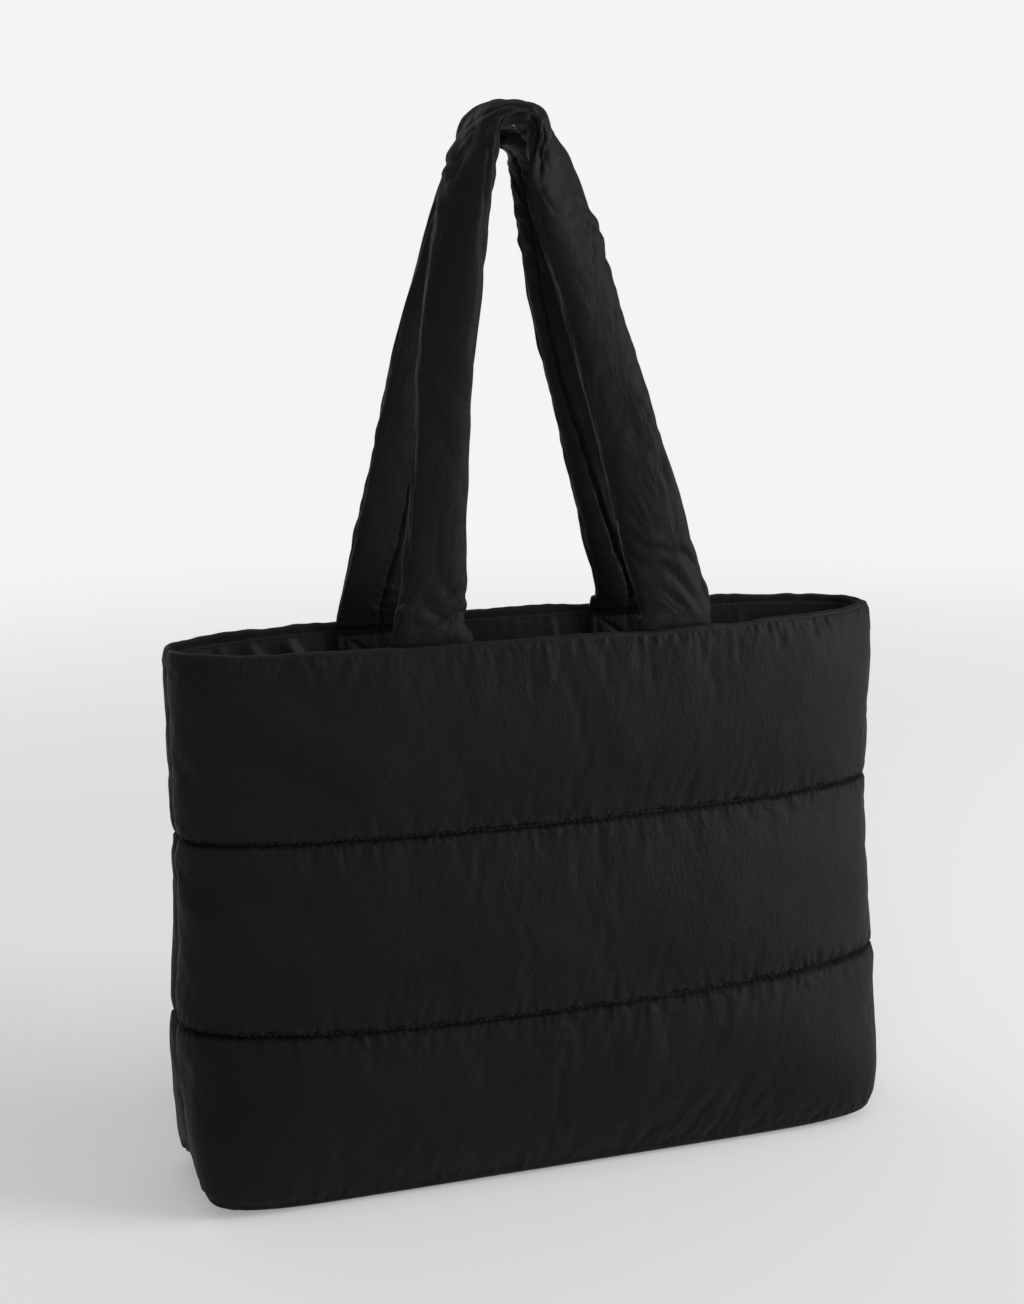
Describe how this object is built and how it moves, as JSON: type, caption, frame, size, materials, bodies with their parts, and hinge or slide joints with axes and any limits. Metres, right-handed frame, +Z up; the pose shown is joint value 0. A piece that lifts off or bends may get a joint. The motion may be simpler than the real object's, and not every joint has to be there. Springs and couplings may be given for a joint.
{
  "type": "puffer tote bag",
  "caption": "Soft open-topped quilted tote bag with puffy horizontal channels, a boxed base, a smooth lining and padded shoulder handles.",
  "frame": {"origin": "on the floor, under the middle of the bag", "axes": "+Z up out of the opening, +X from side seam to side seam to the viewer's right, -Y out of the front wall"},
  "size_m": [0.4658, 0.141, 0.6514],
  "materials": {
    "shell": "matte black crinkled nylon",
    "lining": "smooth black polyester",
    "handle": "matte black crinkled nylon"
  },
  "bodies": {
    "root": {"front_panel": "shell", "back_panel": "shell", "base_panel": "shell", "lining": "lining", "front_handle": "handle", "back_handle": "handle"}
  },
  "joints": []
}
